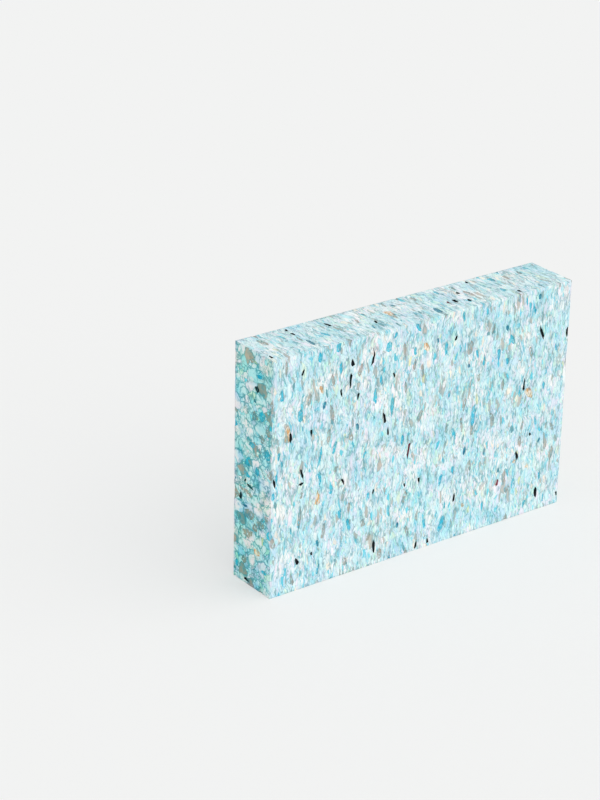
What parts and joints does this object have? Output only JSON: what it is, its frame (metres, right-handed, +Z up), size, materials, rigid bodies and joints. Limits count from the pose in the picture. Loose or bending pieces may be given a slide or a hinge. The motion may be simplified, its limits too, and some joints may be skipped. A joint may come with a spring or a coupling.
{
  "type": "foam block",
  "caption": "Rectangular support block of bonded chip foam, mottled in pale aqua and white, standing on one of its long edges.",
  "frame": {"origin": "centre of the base, which is the long edge face that the block stands on", "axes": "+X along the block's length, +Y through its thickness from the front broad side to the back one, +Z up"},
  "size_m": [0.305, 0.05, 0.205],
  "materials": {
    "chip_foam": "matte"
  },
  "bodies": {
    "root": {"foam_block": "chip_foam"}
  },
  "joints": []
}
